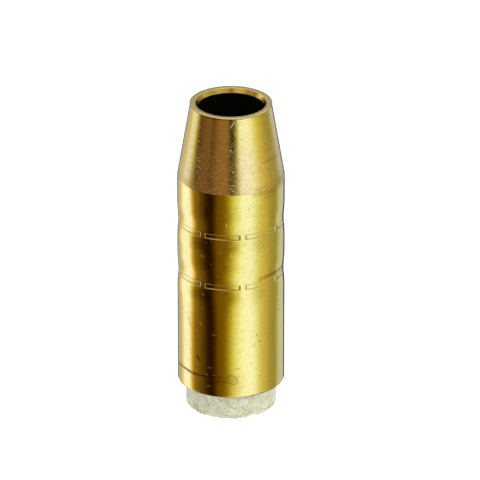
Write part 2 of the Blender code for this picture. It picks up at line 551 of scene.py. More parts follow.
BODY_MARKS = (
    scratch(0.14, 0.5, (-5.2, 54.0), (-3.1, 53.9), (0.1, 53.5)),
    scratch(0.18, 0.5, (-4.3, 51.8), (-4.2, 51.2)),
    scratch(0.14, 0.45, (-2.1, 45.9), (4.0, 46.1)),
    scratch(0.12, 0.45, (10.0, 46.2), (18.1, 46.3)),
    scratch(0.14, 0.3, (2.0, 44.6), (-0.7, 43.1)),
    scratch(0.18, 0.5, (-12.2, 44.3), (-10.0, 44.4)),
    scratch(0.16, 0.4, (-11.4, 45.1), (-10.7, 45.0)),
    scratch(0.22, 0.6, (-34.3, 42.9), (-31.1, 42.8)),
    scratch(0.22, 0.45, (-21.9, 41.0), (-20.9, 41.1)),
    scratch(0.22, 0.5, (-21.9, 47.0), (-20.5, 47.1)),
    scratch(0.16, 0.35, (-27.7, 38.7), (-27.2, 39.2)),
    scratch(0.2, 0.5, (-32.9, 33.0), (-30.3, 32.8)),
    scratch(0.22, 0.5, (-34.6, 25.3), (-34.3, 24.7)),
    scratch(0.18, 0.5, (-6.3, 28.1), (-4.3, 27.6)),
    scratch(0.18, 0.55, (-19.6, 22.6), (-18.1, 22.9), (-16.7, 22.8)),
    scratch(0.24, 0.6, (-25.5, 13.9), (-21.9, 14.1)),
    scratch(0.22, 0.6, (-28.5, 12.1), (-26.1, 12.1)),
    scratch(0.16, 0.5, (-19.7, 12.3), (-15.1, 12.1)),
    scratch(0.26, 0.6, (-27.9, 8.9), (-22.6, 9.4)),
    stain(0.75, 0.95, (-77.7, 11.1), (-66.8, 11.4), (-57.5, 11.4), (-48.5, 11.3), (-40.9, 11.3)),
    stain(0.5, 0.8, (-40.9, 11.3), (-34.8, 11.4), (-27.9, 11.6), (-24.3, 11.7)),
    stain(0.34, 0.8, (-20.8, 11.8), (-18.0, 11.7), (-15.2, 12.0), (-13.0, 11.8), (-10.2, 11.5)),
    stain(0.42, 0.5, (-18.0, 10.5), (-15.2, 10.4), (-11.9, 10.7), (-3.2, 10.6), (1.1, 10.2)),
    stain(0.42, 0.36, (1.1, 10.2), (4.3, 10.1), (6.6, 10.3), (7.3, 10.9), (5.9, 11.6)),
    stain(0.42, 0.36, (5.9, 11.6), (4.3, 12.1), (1.6, 12.5), (-1.1, 12.4), (-4.8, 11.8)),
    stain(0.3, 0.5, (20.0, 6.7), (40.0, 6.7), (80.0, 6.7)),
    smear(0.9, 0.5, (-85.7, 10.5), (-57.5, 11.5), (-40.9, 11.4), (-27.9, 11.7)),
    smear(1.3, 0.45, (-1.1, 11.5), (3.7, 11.0)),
    smear(0.7, 0.5, (-16.3, 10.5), (-14.6, 10.7)),
    smear(0.6, 0.4, (-11.9, 11.2), (-8.1, 11.4)),
    stain(0.16, 0.6, (-54.3, 25.5), (-50.7, 24.8)),
    stain(0.28, 0.5, (5.3, 14.1), (8.0, 14.2)),
    stain(0.7, 0.6, (-39.4, 16.1), (-36.7, 15.5)),
    # the smear and stain along the top of the lower right jaw mark are painted shade of the crease there
    smear(1.1, 1.0, (33.0, 36.6), (48.8, 37.0), (78.0, 36.8)),
    stain(0.5, 0.4, (44.0, 36.9), (78.0, 36.7)),
    smear(0.7, 0.35, (-27.0, 37.7), (-18.5, 37.3), (-10.0, 37.1)),
    smear(0.9, 0.5, (-52.7, 25.1), (-48.2, 23.5)),
    smear(1.8, 0.5, (-3.0, 11.3), (4.5, 11.3)),
    smear(5.0, 0.25, (-13.9, 13.1), (2.0, 8.5)),
    smear(0.4, 0.4, (25.3, 19.5), (27.7, 20.2)),
    pit(0.4, 0.5, (19.0, 55.4)),
    pit(0.4, 0.5, (28.5, 41.5)),
    pit(0.25, 0.5, (27.5, 41.1)),
    pit(0.6, 0.6, (-6.4, 33.8)),
    pit(0.4, 0.7, (35.7, 25.4)),
    pit(0.25, 0.4, (33.9, 26.2)),
    pit(0.5, 0.6, (29.3, 22.4)),
    pit(0.55, 0.65, (32.2, 20.7)),
    pit(0.3, 0.4, (39.3, 23.4)),
    pit(0.4, 0.7, (62.9, 26.4)),
    pit(0.4, 0.6, (70.7, 21.2)),
    pit(0.3, 0.4, (40.7, 30.4)),
    pit(0.35, 0.5, (-52.3, 14.3)),
    pit(0.5, 0.8, (23.7, 6.7)),
    smear(1.5, 0.55, (26.0, 58.9), (48.0, 58.6), (80.0, 58.9)),
    smear(0.9, 0.35, (38.0, 57.2), (52.0, 57.6)),
)

NOSE_MARKS = (
    scratch(0.16, 0.55, (0.1, 75.5), (5.7, 76.9)),
    scratch(0.16, 0.5, (4.8, 74.1), (8.0, 73.1)),
    scratch(0.36, 0.9, (-0.4, 70.0), (0.2, 70.0)),
    scratch(0.22, 0.5, (-46.4, 71.0), (-43.8, 71.0)),
    scratch(0.12, 0.35, (-41.6, 65.2), (-36.8, 64.7)),
    scratch(0.16, 0.3, (-46.0, 62.5), (-44.9, 62.4)),
    scratch(0.12, 0.4, (40.2, 67.2), (58.8, 67.2)),
    scratch(0.12, 0.35, (35.6, 64.5), (51.7, 64.8)),
    scratch(0.12, 0.4, (-2.1, 61.7), (4.5, 61.7)),
    scratch(0.2, 0.4, (0.1, 60.7), (4.4, 60.5)),
    scratch(0.2, 0.4, (7.2, 66.7), (8.3, 65.9)),
    stain(0.16, 0.6, (39.4, 66.0), (52.9, 65.9), (73.9, 65.8)),
    stain(0.35, 0.9, (-23.3, 77.2), (-22.8, 76.9)),
    smear(1.2, 0.4, (57.0, 60.5), (66.0, 59.7)),
    pit(0.3, 0.6, (1.3, 66.0)),
    pit(0.3, 0.6, (2.4, 65.0)),
    smear(1.6, 0.5, (30.0, 59.8), (52.0, 60.0), (80.0, 60.2)),
    smear(1.8, 0.35, (-75.0, 60.0), (-50.0, 60.4), (-30.0, 60.0)),
)


@dataclass(frozen=True)
class DrawnBrass:
    """The body's finish: bright drawn tube with faint draw lines, thin tarnish, worn crimps and marks; the
    jaw marks get painted shade inside their outlines and at their ends, and a pale burr that is partly a
    painted highlight.

    Attributes:
        burr_and_highlight_band: distances inside a jaw mark's outline where its pale burr, partly a painted
            highlight, rises, is full, fades and ends.
        outline_shade_band: the same for the painted shade, in a dusty tone, along its outline.
        floor_edge: distances inside its outline between which its floor begins.
        shaded_end: distances from an end of its floor between which the painted shade at that end fades.
    """

    colour: Colour = (0.86, 0.71, 0.30)
    tarnish: Colour = (0.72, 0.57, 0.18)
    lemon: Colour = (0.84, 0.75, 0.33)
    worn: Colour = (0.90, 0.75, 0.46)
    soil: Colour = (0.09, 0.045, 0.012)
    brown: Colour = (0.46, 0.27, 0.055)
    dust: Colour = (0.66, 0.48, 0.31)
    roughness: float = 0.14
    dent_depth: float = 0.03 * MM
    wall_radius: float = 12.7 * MM
    burr_and_highlight_band: Band = (-0.20 * MM, -0.08 * MM, -0.08 * MM, 0.0)
    outline_shade_band: Band = (-0.02 * MM, 0.06 * MM, 0.06 * MM, 0.18 * MM)
    floor_edge: Place = (0.02 * MM, 0.14 * MM)
    shaded_end: Place = (0.18 * MM, 0.42 * MM)
    marks: tuple[HandlingMark, ...] = BODY_MARKS

    def material(self) -> bpy.types.Material:
        """Return the material."""
        f = Finish("drawn_brass")
        cloud = f.noise(f.place, 7.0 * MM, 4.0)
        mottle = f.noise(f.place, 1.4 * MM, 3.0)
        grain = f.noise(f.place, 0.35 * MM)
        hue = f.noise(f.vector("ADD", f.place, (0.05, 0.02, 0.01)), 9.0 * MM, 3.0)
        lines = f.noise(f.stretched(0.02), 0.3 * MM)
        rubbed = f.noise(f.stretched(1.6, 0.8), 0.8 * MM, 3.0)
        scuffs = f.noise(f.stretched(9.0, 0.35), 1.0 * MM)

        inside, from_end = f.attribute("inside"), f.attribute("from_end")
        # pale worn burr just outside each jaw mark's outline, partly a painted highlight along its edge
        burr_and_highlight = f.times(f.band(inside, *self.burr_and_highlight_band), 0.6)
        # painted shade just inside each jaw mark's outline, mottled, in a dusty tone
        outline_shade = f.times(f.band(inside, *self.outline_shade_band), f.ease(mottle, 0.35, 0.6, 0.15, 0.75))
        # painted shade at the ends of each jaw mark's floor, where its end walls shade it
        ends = f.times(f.ease(inside, *self.floor_edge), f.ease(from_end, *self.shaded_end, 0.8, 0.0))

        marks = f.marks(self.marks, self.wall_radius)
        long_flecks = f.times(f.flecks(3.6 * MM, 0.09, 0.5, 0.14), 0.6)
        short_flecks = f.times(f.flecks(1.7 * MM, 0.2, 0.9, 0.3), 0.35)
        scratches = f.largest(marks[MarkKind.SCRATCH], long_flecks, short_flecks)
        stains = f.times(marks[MarkKind.STAIN], f.ease(mottle, 0.3, 0.6, 0.55, 1.0))
        pits = f.largest(marks[MarkKind.PIT], f.flecks(4.3 * MM, 0.06, -0.9, 0.13))
        smears = f.times(marks[MarkKind.SMEAR], f.ease(grain, 0.35, 0.65, 0.35, 1.0))

        thin = f.total(f.ease(cloud, 0.42, 0.72, 0.0, 0.35), f.ease(mottle, 0.5, 0.8, 0.0, 0.25))
        colour = f.coats(
            f.paint(thin, (*self.colour, 1.0), self.tarnish),
            (hue, 0.45, 0.7, 0.5, self.lemon),
            (grain, 0.35, 0.75, 0.14, self.brown),
            (rubbed, 0.48, 0.75, 0.22, self.brown),
            (scuffs, 0.55, 0.75, 0.25, self.worn),
        )
        colour = f.paint(f.largest(smears, stains), colour, self.brown)
        # pale worn colour over the scratches and the burrs, the burrs partly a painted highlight
        colour = f.paint(f.largest(burr_and_highlight, scratches), colour, self.worn)
        # painted shade along the inside of the jaw marks' outlines
        colour = f.paint(outline_shade, colour, self.dust)
        # near-black over the stains and pits, and painted shade at the ends of the jaw marks
        colour = f.paint(f.largest(f.times(stains, 0.7), pits, ends), colour, self.soil)

        rough = f.added(
            f.ease(grain, 0.2, 0.8, self.roughness - 0.03, self.roughness + 0.03),
            (thin, 0.05),
            (f.largest(burr_and_highlight, scratches, pits), 0.25),
            (f.largest(stains, smears), 0.12),
            (outline_shade, 0.4),
        )
        dents = f.added(0.0, (lines, 0.06), (grain, 0.02), (rubbed, 0.03), (scuffs, 0.04))
        dents = f.minus(dents, f.largest(scratches, pits))
        f.set(Base_Color=colour, Metallic=1.0, Roughness=rough, Normal=f.bump(dents, self.dent_depth))
        return f.material


@dataclass(frozen=True)
class TurnedBrass:
    """The nose's finish: fine turning lines that run round it, satin, and pinker towards the cone's base, a
    tint that is partly a painted reflection of warm surroundings; a painted shade line runs under the rim.

    Attributes:
        base_edge: heights above the base of the cone between which its brown edge fades.
        rim_middle: distance from the axis to the middle of the rim.
        rim_shade_line: depths below the rim where the painted shade line under it rises, is full, fades and
            ends.
    """

    colour: Colour = (0.85, 0.68, 0.30)
    pink: Colour = (0.82, 0.63, 0.44)
    worn: Colour = (0.92, 0.80, 0.55)
    soil: Colour = (0.10, 0.05, 0.015)
    brown: Colour = (0.50, 0.30, 0.09)
    roughness: float = 0.19
    dent_depth: float = 0.03 * MM
    wall_radius: float = 11.1 * MM
    base_height: float = 59.3 * MM
    base_edge: Place = (0.05 * MM, 0.6 * MM)
    mouth_height: float = 77.6 * MM
    rim_middle: float = 9.0 * MM
    rim_shade_line: Band = (0.06 * MM, 0.14 * MM, 0.22 * MM, 0.42 * MM)
    marks: tuple[HandlingMark, ...] = NOSE_MARKS

    def material(self) -> bpy.types.Material:
        """Return the material."""
        f = Finish("turned_brass")
        x, y, height = f.axes(f.place)
        fine = f.noise(f.stretched(1.0, 0.12), 0.20 * MM)
        coarse = f.noise(f.stretched(1.0, 0.06), 0.5 * MM)
        hatch = f.noise(f.stretched(2.4), 0.55 * MM, 2.0, 0.6)
        cloud = f.noise(f.place, 4.5 * MM, 3.0)
        low = f.ease(height, self.base_height, self.mouth_height, 1.0, 0.05)

        marks = f.marks(self.marks, self.wall_radius)
        scratches = f.largest(marks[MarkKind.SCRATCH], f.flecks(3.2 * MM, 0.07, 0.7, 0.1))
        stains = marks[MarkKind.STAIN]
        pits = f.largest(marks[MarkKind.PIT], f.flecks(4.4 * MM, 0.05, -0.6, 0.15))
        smears = f.times(marks[MarkKind.SMEAR], f.ease(hatch, 0.35, 0.65, 0.3, 1.0))
        dashes = f.largest(f.flecks(1.0 * MM, 0.32, 0.6, 0.35), f.flecks(1.1 * MM, 0.32, -0.5, 0.35))
        dashes = f.times(dashes, f.ease(low, 0.1, 0.7, 0.3, 0.9))

        edge = f.ease(f.minus(height, self.base_height), *self.base_edge, 1.0, 0.0)
        edge = f.times(edge, f.ease(hatch, 0.4, 0.7, 0.0, 0.7))
        outside = f.math("GREATER_THAN", f.measure("LENGTH", f.join(x, y, 0.0)), self.rim_middle)
        # painted shade: a dark line just under the rim's outer edge, mottled
        rim_shade_line = f.band(f.minus(self.mouth_height, height), *self.rim_shade_line)
        rim_shade_line = f.times(rim_shade_line, outside, f.ease(cloud, 0.35, 0.6, 0.25, 0.85))

        # pinker base colour towards the cone's base, mottled: partly a painted reflection of the warm
        # surroundings that the rough cone blurs
        pink = f.times(low, f.ease(cloud, 0.3, 0.65, 0.3, 0.8))
        colour = f.coats(
            f.paint(pink, (*self.colour, 1.0), self.pink),
            (coarse, 0.5, 0.75, 0.15, self.brown),
            (hatch, 0.38, 0.66, 0.20, self.brown),
        )
        colour = f.paint(f.largest(smears, edge), colour, self.brown)
        # painted shade under the rim, in the dark tone
        colour = f.paint(rim_shade_line, colour, self.soil)
        colour = f.paint(f.largest(scratches, dashes), colour, self.worn)
        colour = f.paint(f.largest(stains, pits), colour, self.soil)

        rough = f.added(
            f.ease(fine, 0.3, 0.7, self.roughness - 0.04, self.roughness + 0.04),
            (low, 0.04),
            (f.ease(hatch, 0.48, 0.68), f.ease(low, 0.2, 0.8, 0.05, 0.11)),
            (f.largest(scratches, stains, pits, smears, dashes), 0.3),
        )
        dents = f.added(0.0, (fine, 0.08), (coarse, 0.05), (hatch, 0.03))
        dents = f.minus(dents, f.largest(scratches, pits, f.times(dashes, 0.4)))
        f.set(Base_Color=colour, Metallic=1.0, Roughness=rough, Normal=f.bump(dents, self.dent_depth))
        return f.material


@dataclass(frozen=True)
class BorePaintedShade:
    """The finish inside the shell: near-black painted shade on the bore below the land, where only shade
    falls, with faint dim brass blotches.
    """

    colour: Colour = (0.0025, 0.0025, 0.003)
    brass: Colour = (0.02, 0.014, 0.006)
    roughness: float = 0.6
    shine: float = 0.12
    blotch_depth: float = 0.02 * MM

    def material(self) -> bpy.types.Material:
        """Return the material."""
        f = Finish("bore_scale")
        cloud = f.noise(f.place, 1.2 * MM, 4.0)
        # painted shade: the bore's colour is near black, with faint dim brass blotches
        colour = f.paint(f.ease(cloud, 0.6, 0.8), (*self.colour, 1.0), self.brass)
        f.set(Base_Color=colour, Specular_IOR_Level=self.shine)
        f.set(Roughness=f.ease(cloud, 0.3, 0.7, self.roughness, self.roughness + 0.2))
        f.set(Normal=f.bump(cloud, self.blotch_depth))
        return f.material


@dataclass(frozen=True)
class GlassFibre:
    """The sleeve's finish: wound glass cloth in pale resin, mottled, with fibres that run along it."""

    colour: Colour = (0.65, 0.67, 0.52)
    green: Colour = (0.52, 0.60, 0.40)
    pink: Colour = (0.81, 0.76, 0.66)
    pale: Colour = (0.86, 0.90, 0.86)
    stain: Colour = (0.33, 0.34, 0.14)
    soil: Colour = (0.10, 0.10, 0.06)
    roughness: float = 0.62
    fibre_depth: float = 0.05 * MM

    def material(self) -> bpy.types.Material:
        """Return the material."""
        f = Finish("glass_fibre")
        cloud = f.noise(f.place, 2.2 * MM, 3.0)
        tint = f.noise(f.vector("ADD", f.place, (0.03, 0.01, 0.02)), 1.5 * MM, 3.0, 0.6)
        fibres = f.noise(f.stretched(0.22), 0.36 * MM)
        threads = f.noise(f.stretched(1.0, 0.3), 0.45 * MM)
        specks = f.noise(f.place, 0.34 * MM, 2.0, 0.7)
        gaps = f.noise(f.stretched(0.07), 0.75 * MM, 1.0)
        colour = f.coats(
            (*self.colour, 1.0),
            (cloud, 0.36, 0.64, 1.0, self.pale),
            (tint, 0.54, 0.70, 0.6, self.pink),
            (tint, 0.46, 0.32, 0.75, self.green),
            (fibres, 0.50, 0.75, 0.6, self.pale),
            (threads, 0.48, 0.68, 0.16, self.stain),
            (gaps, 0.62, 0.74, 0.16, self.stain),
            (specks, 0.50, 0.68, 0.75, self.stain),
            (specks, 0.46, 0.30, 1.0, self.pale),
        )
        colour = f.paint(f.flecks(2.6 * MM, 0.10, 0.2, 0.16), colour, self.soil)
        rough = f.ease(fibres, 0.2, 0.8, self.roughness - 0.1, self.roughness + 0.15)
        f.set(Base_Color=colour, Roughness=rough, Normal=f.bump(fibres, self.fibre_depth))
        return f.material


@dataclass(frozen=True)
class ReamedBrass:
    """The insert's finish: reamed brass with lines round its bore."""

    colour: Colour = (0.80, 0.63, 0.28)
    dull: Colour = (0.50, 0.36, 0.14)
    roughness: float = 0.33
    line_depth: float = 0.008 * MM

    def material(self) -> bpy.types.Material:
        """Return the material."""
        f = Finish("reamed_brass")
        lines = f.noise(f.stretched(1.0, 0.04), 0.2 * MM)
        cloud = f.noise(f.place, 4.0 * MM, 3.0)
        f.set(Base_Color=f.paint(f.ease(cloud, 0.4, 0.8), (*self.colour, 1.0), self.dull), Metallic=1.0)
        f.set(Roughness=f.ease(lines, 0.3, 0.7, self.roughness - 0.07, self.roughness + 0.07))
        f.set(Normal=f.bump(lines, self.line_depth))
        return f.material


@dataclass
class NozzleShell:
    """The brass shell: a drawn tube with a turned cone at its nose, crimped in two rows of jaw marks."""

    body_radius: float
    rear: float
    mouth_height: float
    tube_wall: float = 1.7 * MM
    nose_length: float = 18.3 * MM
    mouth_radius: float = 8.36 * MM
    mouth_wall: float = 1.34 * MM
    rim_band: float = 0.07 * MM
    rim_flare: float = 0.10 * MM
    flare_drop: float = 0.154 * MM
    mouth_land: float = 0.95 * MM
    land_taper: float = 0.42 * MM
    land_ledge: float = 0.05 * MM
    ledge_top: float = 0.08 * MM
    ledge_bottom: float = 0.20 * MM
    rim_rounding: float = 0.15 * MM
    band_rounding: float = 0.05 * MM
    flare_rounding: float = 0.2 * MM
    step_rounding: float = 0.04 * MM
    land_rounding: float = 0.03 * MM
    rear_rounding: float = 0.3 * MM
    edge_break: float = 0.08 * MM
    turned_step: float = 0.02 * MM
    crimp_from_nose: float = 11.1 * MM
    crimp_pitch: float = 13.0 * MM
    waist_depth: float = 0.22 * MM
    waist_half_width: float = 4.8 * MM
    jaws: int = 8
    gap_deg: float = 6.0
    first_gap_deg: float = 13.0
    mark_height: float = 1.1 * MM
    mark_depth: float = 0.08 * MM
    mark_edge: float = 0.10 * MM
    lip_height: float = 0.015 * MM
    lip_width: float = 0.30 * MM
    jaw_flat: float = 0.05 * MM
    flat_reach: float = 14.0 * MM
    tail_draw: float = 0.03 * MM
    tail_from: float = 29.0 * MM
    tail_to: float = 20.0 * MM
    wobble: float = 0.016 * MM
    wobble_size: float = 9.0 * MM
    fine_reach: float = 0.35 * MM
    fine_spacing: float = 0.05 * MM
    coarse_spacing: float = 0.6 * MM
    land_spacing: float = 0.2 * MM
    bore_spacing: float = 2.0 * MM
    column_step_deg: float = 2.25
    close_columns: int = 9
    close_reach_deg: float = 1.0
    clear_reach_deg: float = 1.3

    @property
    def nose_base(self) -> float:
        """Height of the base of the cone."""
        return self.mouth_height - self.nose_length

    @property
    def crimp_rows(self) -> tuple[float, float]:
        """Heights of the two rows of jaw marks."""
        upper = self.nose_base - self.crimp_from_nose
        return upper, upper - self.crimp_pitch

    def corners(self) -> list[Corner]:
        """Return the profile: rim, cone, step, body with close rings at the crimps, rear, bore and land."""
        wide, bore = self.body_radius, self.body_radius - self.tube_wall
        top, rim = self.mouth_height, self.mouth_radius + self.mouth_wall
        step = self.turned_step
        land = top - self.mouth_land
        neck = self.mouth_radius - self.land_taper
        ledge = neck - self.land_ledge
        fine, coarse = self.fine_spacing, self.coarse_spacing
        reach = self.mark_height / 2 + self.fine_reach
        body = []
        for row in self.crimp_rows:
            body.append(Corner(wide, row + reach, 0.0, fine, Zone.BODY))
            body.append(Corner(wide, row - reach, 0.0, coarse, Zone.BODY))
        return [
            Corner(self.mouth_radius, top, self.edge_break, coarse, Zone.NOSE),
            Corner(rim, top, self.rim_rounding, coarse, Zone.NOSE),
            Corner(rim, top - self.rim_band, self.band_rounding, coarse, Zone.NOSE),
            Corner(rim - self.rim_flare, top - self.flare_drop, self.flare_rounding, coarse, Zone.NOSE),
            Corner(wide - step, self.nose_base + step, self.step_rounding, fine, Zone.NOSE),
            Corner(wide, self.nose_base, self.step_rounding, coarse, Zone.BODY),
            *body,
            Corner(wide, self.rear, self.rear_rounding, coarse, Zone.BODY),
            Corner(bore, self.rear, self.edge_break, self.bore_spacing, Zone.BORE),
            Corner(bore, self.nose_base, 0.0, self.bore_spacing, Zone.BORE),
            Corner(ledge, land - self.ledge_bottom, 0.0, self.land_spacing, Zone.BORE),
            Corner(ledge, land - self.ledge_top, self.land_rounding, self.land_spacing, Zone.NOSE),
            Corner(neck, land, self.land_rounding, self.land_spacing, Zone.NOSE),
        ]

    def bearings(self) -> np.ndarray:
        """Return the columns: even ones, and close ones at both ends of each jaw mark."""
        pitch, half_gap = 360.0 / self.jaws, self.gap_deg / 2
        close = np.linspace(-self.close_reach_deg, self.close_reach_deg, self.close_columns)
        even = np.arange(-pitch / 2, pitch / 2, self.column_step_deg)
        even = even[np.abs(np.abs(even) - half_gap) > self.clear_reach_deg]
        one_pitch = np.sort(np.concatenate((even, close - half_gap, close + half_gap)))
        turns = self.first_gap_deg + pitch * np.arange(self.jaws)
        return np.radians((turns[:, None] + one_pitch).ravel())

    def crimp_tree(self) -> ShapeTree:
        """Return the tree that presses the waists and jaw marks into the wall and sets each zone's finish."""
        t = ShapeTree("crimp_shell")
        upper, lower = t.sizes("Upper Row", "Lower Row")
        waist_depth, waist_half = t.sizes("Waist Depth", "Waist Half Width")
        pitch, gap, first = t.sizes("Jaw Pitch", "Gap Angle", "First Mark")
        mark_height, mark_depth, edge = t.sizes("Mark Height", "Mark Depth", "Mark Edge")
        lip_height, lip_width = t.sizes("Lip Height", "Lip Width")
        flat_depth, flat_reach = t.sizes("Jaw Flat", "Flat Reach")
        radius, outside = t.sizes("Body Radius", "Outside From")
        wobble, wobble_size = t.sizes("Wobble", "Wobble Size")
        tail_draw, tail_from, tail_to = t.sizes("Tail Draw", "Tail From", "Tail To")

        spot = t.node("GeometryNodeInputPosition").outputs[0]
        x, y, z = t.axes(spot)
        outward = t.vector("NORMALIZE", t.join(x, y, 0.0))
        on_outside = t.math("GREATER_THAN", t.measure("LENGTH", t.join(x, y, 0.0)), outside)
        off_rows = [t.math("ABSOLUTE", t.minus(z, row)) for row in (upper, lower)]
        off_row = t.math("MINIMUM", *off_rows)

        waist = t.ease(off_row, 0.0, waist_half, waist_depth, 0.0)
        turn = t.minus(t.bearing(x, y), first)
        turn = t.math("WRAP", turn, t.times(pitch, 0.5), t.times(pitch, -0.5))
        lobes = t.math("COSINE", t.math("DIVIDE", t.times(turn, math.tau), pitch))
        flat = t.times(lobes, t.ease(off_row, 0.0, flat_reach, flat_depth, 0.0))
        half_arc = t.times(t.minus(pitch, gap), 0.5)
        inside_arc = t.times(t.minus(half_arc, t.math("ABSOLUTE", turn)), radius)
        inside_row = t.minus(t.times(mark_height, 0.5), off_row)
        inside = t.math("MINIMUM", inside_arc, inside_row)
        outer_edge = t.times(edge, -1.0)
        lip = t.times(t.band(inside, t.times(lip_width, -1.0), outer_edge, outer_edge, 0.0), lip_height)
        mark = t.minus(t.ease(inside, outer_edge, edge, 0.0, mark_depth), lip)
        wave = t.times(t.minus(t.noise(spot, wobble_size, 1.0), 0.5), wobble)
        tail = t.ease(z, tail_to, tail_from, tail_draw, 0.0)
        pressed = t.total(waist, t.times(on_outside, t.total(mark, flat, wave, tail)))

        shape = t.entry.outputs[0]
        for name, distance in (("inside", inside), ("from_end", inside_arc)):
            kept = {"Geometry": shape, "Name": name, "Value": distance}
            store = t.node("GeometryNodeStoreNamedAttribute", kept, data_type="FLOAT", domain="POINT")
            shape = store.outputs[0]
        move = t.scaled(outward, t.times(pressed, -1.0))
        shape = t.node("GeometryNodeSetPosition", {"Geometry": shape, "Offset": move}).outputs[0]
        zone = t.node("GeometryNodeInputNamedAttribute", {"Name": "zone"}, data_type="INT").outputs[0]
        faces = {f"{each.name.title()} Finish": t.math("COMPARE", zone, float(each), 0.1) for each in Zone}
        t.give(shape, faces)
        return t

    def build(self, finishes: dict[Zone, bpy.types.Material]) -> bpy.types.Object:
        """Build the shell and press its crimps.

        Args:
            finishes: the material of each zone.

        Returns:
            The finished piece.
        """
        lattice = TurnedLattice(self.corners(), self.bearings())
        shell = new_piece("brass_shell", lattice.mesh("brass_shell"))
        pitch = math.tau / self.jaws
        sizes = named_sizes(self) | {
            "Upper Row": self.crimp_rows[0],
            "Lower Row": self.crimp_rows[1],
            "Jaw Pitch": pitch,
            "Gap Angle": math.radians(self.gap_deg),
            "First Mark": math.radians(self.first_gap_deg) + pitch / 2,
            "Outside From": self.body_radius - self.tube_wall / 2,
        }
        sizes |= {f"{zone.name.title()} Finish": material for zone, material in finishes.items()}
        self.crimp_tree().bake(shell, sizes)
        return shell


@dataclass
class InsulatorSleeve:
    """The glass-fibre sleeve: it lines the shell and stands out behind it, with a sawn rear edge."""

    radius: float
    front: float
    standout: float
    wall: float = 1.5 * MM
    edge_break: float = 0.1 * MM
    rear_rounding: float = 0.35 * MM
    fray: float = 0.10 * MM
    fray_reach: float = 0.9 * MM
    tear_size: float = 1.6 * MM
    weave: float = 0.03 * MM
    thread_size: float = 0.5 * MM
    chip_deg: float = 28.0
    chip_width: float = 1.8 * MM
    chip_height: float = 0.45 * MM
    chip_reach: float = 1.8 * MM
    hidden_overlap: float = 1.0 * MM
    shown_spacing: float = 0.12 * MM
    rear_spacing: float = 0.15 * MM
    front_spacing: float = 0.5 * MM
    hidden_spacing: float = 3.0 * MM
    columns: int = 360

    def corners(self) -> list[Corner]:
        """Return the profile, with close rings on the length that shows."""
        inner = self.radius - self.wall
        return [
            Corner(inner, self.front, self.edge_break, self.front_spacing),
            Corner(self.radius, self.front, self.edge_break, self.hidden_spacing),
            Corner(self.radius, self.standout + self.hidden_overlap, 0.0, self.shown_spacing),
            Corner(self.radius, 0.0, self.rear_rounding, self.rear_spacing),
            Corner(inner, 0.0, self.edge_break, self.hidden_spacing),
        ]

    def sawn_tree(self) -> ShapeTree:
        """Return the tree that roughens the wall with its weave, frays the rear edge and chips it once."""
        t = ShapeTree("saw_sleeve")
        weave, thread_size = t.sizes("Weave", "Thread Size")
        fray, fray_reach, tear_size = t.sizes("Fray", "Fray Reach", "Tear Size")
        chip_at, chip_width, chip_height = t.sizes("Chip Bearing", "Chip Width", "Chip Height")
        chip_reach = t.size("Chip Reach")
        spot = t.node("GeometryNodeInputPosition").outputs[0]
        x, y, z = t.axes(spot)
        across = t.join(x, y, 0.0)
        threads = t.noise(t.vector("MULTIPLY", spot, (1.0, 1.0, 0.3)), thread_size)
        torn = t.ease(t.noise(spot, tear_size, 4.0), 0.45, 0.75)
        frayed = t.times(torn, t.ease(z, 0.0, fray_reach, 1.0, 0.0), fray)
        push = t.minus(t.times(t.minus(threads, 0.5), weave), frayed)
        off_chip = t.math("ABSOLUTE", t.minus(t.bearing(x, y), chip_at))
        off_chip = t.times(off_chip, t.measure("LENGTH", across))
        chip = t.ease(off_chip, 0.0, chip_width, chip_height, 0.0)
        chip = t.times(chip, t.ease(z, 0.0, chip_reach, 1.0, 0.0))
        outward = t.scaled(t.vector("NORMALIZE", across), push)
        move = t.vector("ADD", outward, t.join(0.0, 0.0, t.total(frayed, chip)))
        shape = t.node("GeometryNodeSetPosition", {"Geometry": t.entry.outputs[0], "Offset": move}).outputs[0]
        t.give(shape, {"Finish": True})
        return t

    def build(self, finish: bpy.types.Material) -> bpy.types.Object:
        """Build the sleeve in this finish and return it."""
        lattice = TurnedLattice(self.corners(), even_bearings(self.columns))
        sleeve = new_piece("glass_sleeve", lattice.mesh("glass_sleeve"))
        sizes = named_sizes(self) | {"Chip Bearing": math.radians(self.chip_deg), "Finish": finish}
        self.sawn_tree().bake(sleeve, sizes)
        return sleeve


@dataclass
class SlipOnInsert:
    """The brass insert: a reamed bore that slips over the torch's gas diffuser."""

    radius: float
    front: float
    rear: float
    wall: float = 0.9 * MM
    lead_in: float = 0.5 * MM
    front_break: float = 0.15 * MM
    rear_break: float = 0.1 * MM
    lead_break: float = 0.05 * MM
    face_spacing: float = 0.5 * MM
    lead_spacing: float = 0.2 * MM
    wall_spacing: float = 2.0 * MM
    columns: int = 240

    def corners(self) -> list[Corner]:
        """Return the profile, with a lead-in at the rear of the bore."""
        bore = self.radius - self.wall
        return [
            Corner(bore, self.front, self.front_break, self.face_spacing),
            Corner(self.radius, self.front, self.front_break, self.wall_spacing),
            Corner(self.radius, self.rear, self.rear_break, self.face_spacing),
            Corner(bore + self.lead_in, self.rear, self.lead_break, self.lead_spacing),
            Corner(bore, self.rear + self.lead_in, self.rear_break, self.wall_spacing),
        ]

    def build(self, finish: bpy.types.Material) -> bpy.types.Object:
        """Build the insert in this finish and return it."""
        lattice = TurnedLattice(self.corners(), even_bearings(self.columns))
        insert = new_piece("brass_insert", lattice.mesh("brass_insert"))
        insert.data.materials.append(finish)
        insert.data.shade_smooth()
        return insert


